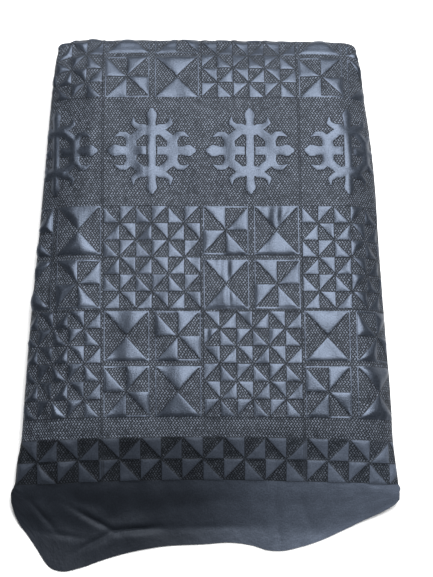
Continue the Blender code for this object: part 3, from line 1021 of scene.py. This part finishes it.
def mixed_colour(tree, share, low, high):
    """A colour between two others."""
    node = tree.nodes.new("ShaderNodeMix")
    node.data_type = "RGBA"
    for slot, value in ((node.inputs["A"], low), (node.inputs["B"], high)):
        if isinstance(value, tuple):
            slot.default_value = (*value, 1.0)
        else:
            tree.links.new(value, slot)
    tree.links.new(share.socket, node.inputs["Factor"])
    return node.outputs["Result"]


def noise(tree, vector, scale, detail=2.0):
    """A soft noise from 0 to 1."""
    node = tree.nodes.new("ShaderNodeTexNoise")
    node.inputs["Scale"].default_value = scale
    node.inputs["Detail"].default_value = detail
    tree.links.new(vector, node.inputs["Vector"])
    return Wire(node.outputs["Fac"])


def stitch_dashes(tree, vector, across, along):
    """Staggered rows of short slanting stitches, leaning the other way in every second row."""
    circle = 2.0 * math.pi
    drift = noise(tree, vector, DRIFT_SCALE, 3.0) * DASH_DRIFT
    rows = (along + drift) * (1.0 / DASH_ROW)
    row = floor_of(rows)
    in_row = rows - row - 0.5
    lean = 2.0 * odd(row) - 1.0
    place = (across + drift) * (1.0 / DASH_PITCH) + 0.5 * odd(row) + in_row * lean * DASH_SLANT
    dash = ease(wave(place * circle), DASH_WAVE_START, DASH_WAVE_END)
    return dash * ease(size_of(in_row), DASH_ROW_EDGE, DASH_ROW_CORE)


def stitch_shade(tree, vector):
    """A shade of its own for each small patch of stitches."""
    node = tree.nodes.new("ShaderNodeTexVoronoi")
    node.voronoi_dimensions = "2D"
    node.inputs["Scale"].default_value = SHADE_SCALE
    tree.links.new(vector, node.inputs["Vector"])
    split = tree.nodes.new("ShaderNodeSeparateColor")
    tree.links.new(node.outputs["Color"], split.inputs["Color"])
    return Wire(split.outputs["Red"])


def stitch_dots(tree, vector, across, along, made):
    """Lightness of the ground's stitches, brighter in the ribbed band and faint in the strip."""
    shade = stitch_shade(tree, vector)
    dashes = stitch_dashes(tree, vector, across, along)
    ribs = wave(across * (2.0 * math.pi / RIB_PITCH)) * RIB_CONTRAST + (1.0 - RIB_CONTRAST)
    brightness = choose(made["ribs"], 1.0, ribs * RIB_BRIGHTNESS)
    dots = dashes * (SHADE_LOW + shade * (1.0 - SHADE_LOW)) * brightness
    return dots * (1.0 - made["strip"] * STRIP_FAINTNESS)


def satin_streaks(tree, across, along):
    """Fine streaks that run along the cloth, as the satin's threads do."""
    place = tree.nodes.new("ShaderNodeCombineXYZ")
    tree.links.new((across * STREAK_STRETCH).socket, place.inputs["X"])
    tree.links.new(along.socket, place.inputs["Y"])
    return noise(tree, place.outputs["Vector"], STREAK_SCALE, 3.0)


def cloth_colour(tree, vector, across, made, covered, dots, thread):
    """Colour of the ground, satin, seams and border, in broad soft tones, with painted shade in the
    grooves and on the border's left, and painted light towards the right.
    """
    dark_ground = mixed_colour(tree, made["strip"], GROUND_DARK, STRIP_GROUND_DARK)
    ground = mixed_colour(tree, dots, dark_ground, GROUND_LIGHT)
    satin_cloth = mixed_colour(tree, thread, SATIN_DARK, SATIN_LIGHT)
    plain_cloth = mixed_colour(tree, thread, PLAIN_DARK, PLAIN_LIGHT)
    smooth_cloth = mixed_colour(tree, made["strip"], satin_cloth, plain_cloth)
    colour = mixed_colour(tree, covered, ground, smooth_cloth)
    # Painted shade: a thin dark line in the groove just outside each satin edge, mixed with the
    # seams' own dark lines
    groove_shade = 1.0 - ease(size_of(made["satin"] + GROOVE_SHADE_PLACE), GROOVE_SHADE_CORE, GROOVE_SHADE_EDGE)
    darkness = most(groove_shade * (1.0 - covered) * GROOVE_SHADE_DARKNESS, made["seam"] * SEAM_DARKNESS)
    colour = mixed_colour(tree, darkness, colour, GROOVE_SHADE_AND_SEAM_COLOUR)
    # Painted shade: the plain border is darker towards the left
    painted_shade = made["plain"] * ease(across, PAINTED_BORDER_SHADE_START, PAINTED_BORDER_SHADE_END)
    painted_shade = painted_shade * PAINTED_BORDER_SHADE_SHARE
    colour = mixed_colour(tree, painted_shade, colour, PAINTED_BORDER_SHADE)
    # Painted light: the strip and the plain border are paler towards the right
    painted_light = made["strip"] * ease(across, PAINTED_LIGHT_START, PAINTED_LIGHT_END)
    light_tone = mixed_colour(tree, painted_light, TONE_HIGH, PAINTED_LIGHT_TONE_HIGH)
    dark_tone = mixed_colour(tree, painted_light, TONE_LOW, PAINTED_LIGHT_TONE_LOW)
    broad = noise(tree, vector, BROAD_SCALE) * 0.5 + noise(tree, vector, MIDDLE_SCALE) * 0.5
    tone = mixed_colour(tree, broad, dark_tone, light_tone)
    product = tree.nodes.new("ShaderNodeMix")
    product.data_type = "RGBA"
    product.blend_type = "MULTIPLY"
    product.inputs["Factor"].default_value = 1.0
    tree.links.new(colour, product.inputs["A"])
    tree.links.new(tone, product.inputs["B"])
    return product.outputs["Result"]


def cloth_material():
    """Glossy satin patches, dull stitched ground, ribs and outlines, all from the flat map."""
    material = bpy.data.materials.new("embroidered_cotton")
    material.use_nodes = True
    tree = material.node_tree
    shader = tree.nodes["Principled BSDF"]
    Wire.tree = tree
    flat = tree.nodes.new("ShaderNodeUVMap")
    flat.uv_map = "flat_cloth"
    vector = flat.outputs["UV"]
    parts = tree.nodes.new("ShaderNodeSeparateXYZ")
    tree.links.new(vector, parts.inputs[0])
    across = Wire(parts.outputs["X"])
    along = Wire(parts.outputs["Y"])
    made = embroidery(across, along)
    satin = ease(made["satin"], SATIN_EDGE_START, SATIN_EDGE_END)
    line = ease(made["line"], SATIN_EDGE_START, SATIN_EDGE_END)
    covered = most(satin, line)
    dots = stitch_dots(tree, vector, across, along, made)
    thread = noise(tree, vector, THREAD_SCALE, 3.0)

    colour = cloth_colour(tree, vector, across, made, covered, dots, thread)
    tree.links.new(colour, shader.inputs["Base Color"])
    smooth_roughness = choose(made["strip"], SATIN_ROUGHNESS, PLAIN_ROUGHNESS)
    roughness = choose(covered, GROUND_ROUGHNESS, smooth_roughness)
    roughness = roughness + (thread - 0.5) * THREAD_ROUGHNESS
    tree.links.new(roughness.socket, shader.inputs["Roughness"])
    shader.inputs["Specular IOR Level"].default_value = SPECULAR_LEVEL
    # The thread's gloss takes the thread's own colour, and is strongest on the satin
    gloss = choose(covered, GROUND_GLOSS, choose(made["strip"], SATIN_GLOSS, PLAIN_GLOSS))
    tree.links.new(gloss.socket, shader.inputs["Metallic"])

    edge = most(ease(made["satin"], EDGE_BUMP_START, EDGE_BUMP_END), line) * (1.0 - made["plain"])
    streaks = satin_streaks(tree, across, along)
    rumples = noise(tree, vector, RUMPLE_SCALE, 4.0)
    height = edge * EDGE_BUMP + dots * (1.0 - covered) * DOT_BUMP + thread * THREAD_BUMP
    height = height + covered * (streaks - 0.5) * STREAK_BUMP
    height = height + made["strip"] * (rumples - 0.5) * RUMPLE_BUMP
    bump = tree.nodes.new("ShaderNodeBump")
    bump.inputs["Strength"].default_value = BUMP_STRENGTH
    bump.inputs["Distance"].default_value = BUMP_DISTANCE
    tree.links.new(height.socket, bump.inputs["Height"])
    tree.links.new(bump.outputs["Normal"], shader.inputs["Normal"])
    return material


def floor_material():
    """Plain pale floor."""
    material = bpy.data.materials.new("pale_floor")
    material.use_nodes = True
    shader = material.node_tree.nodes["Principled BSDF"]
    shader.inputs["Base Color"].default_value = FLOOR_COLOUR
    shader.inputs["Roughness"].default_value = FLOOR_ROUGHNESS
    shader.inputs["Specular IOR Level"].default_value = FLOOR_SPECULAR_LEVEL
    return material


def make_floor():
    """A wide pale floor just under the cloth."""
    bpy.ops.mesh.primitive_plane_add(size=FLOOR_SIZE, location=(0.0, 0.0, FLOOR_LEVEL))
    floor = bpy.context.active_object
    floor.name = "pale_floor"
    floor.data.materials.append(floor_material())


def make_light(name, place, target, size, power):
    """A soft light of the given width and depth, turned to its target."""
    data = bpy.data.lights.new(name, "AREA")
    data.shape = "RECTANGLE"
    data.size = size[0]
    data.size_y = size[1]
    data.energy = power
    light = bpy.data.objects.new(name, data)
    light.location = place
    direction = Vector(target) - Vector(place)
    light.rotation_euler = direction.to_track_quat("-Z", "Y").to_euler()
    bpy.context.scene.collection.objects.link(light)


def make_camera():
    """The photograph's view: nearly straight down, from the side of the near hem."""
    data = bpy.data.cameras.new("photo_camera")
    data.sensor_fit = "VERTICAL"
    data.sensor_height = SENSOR_LONG_SIDE
    data.sensor_width = SENSOR_LONG_SIDE * PHOTO_WIDTH / PHOTO_HEIGHT
    data.lens = CAMERA_FOCUS_PIXELS * SENSOR_LONG_SIDE / PHOTO_HEIGHT
    camera = bpy.data.objects.new("photo_camera", data)
    back = Vector((0.0, -math.cos(CAMERA_ELEVATION), math.sin(CAMERA_ELEVATION)))
    camera.location = CAMERA_TARGET + back * CAMERA_DISTANCE
    camera.rotation_euler = (-back).to_track_quat("-Z", "Y").to_euler()
    bpy.context.scene.collection.objects.link(camera)
    bpy.context.scene.camera = camera


def make_world():
    """Soft, even light from all round."""
    world = bpy.data.worlds.new("soft_world")
    world.use_nodes = True
    background = world.node_tree.nodes["Background"]
    background.inputs["Color"].default_value = WORLD_COLOUR
    background.inputs["Strength"].default_value = WORLD_STRENGTH
    bpy.context.scene.world = world


make_camera()
make_world()
bpy.context.scene.view_settings.view_transform = "Standard"
for soft_light in SOFT_LIGHTS:
    make_light(*soft_light)
make_floor()

cloth = make_cloth()
cloth.data.materials.append(cloth_material())
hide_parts("folded_cloth")
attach(cloth, "root")
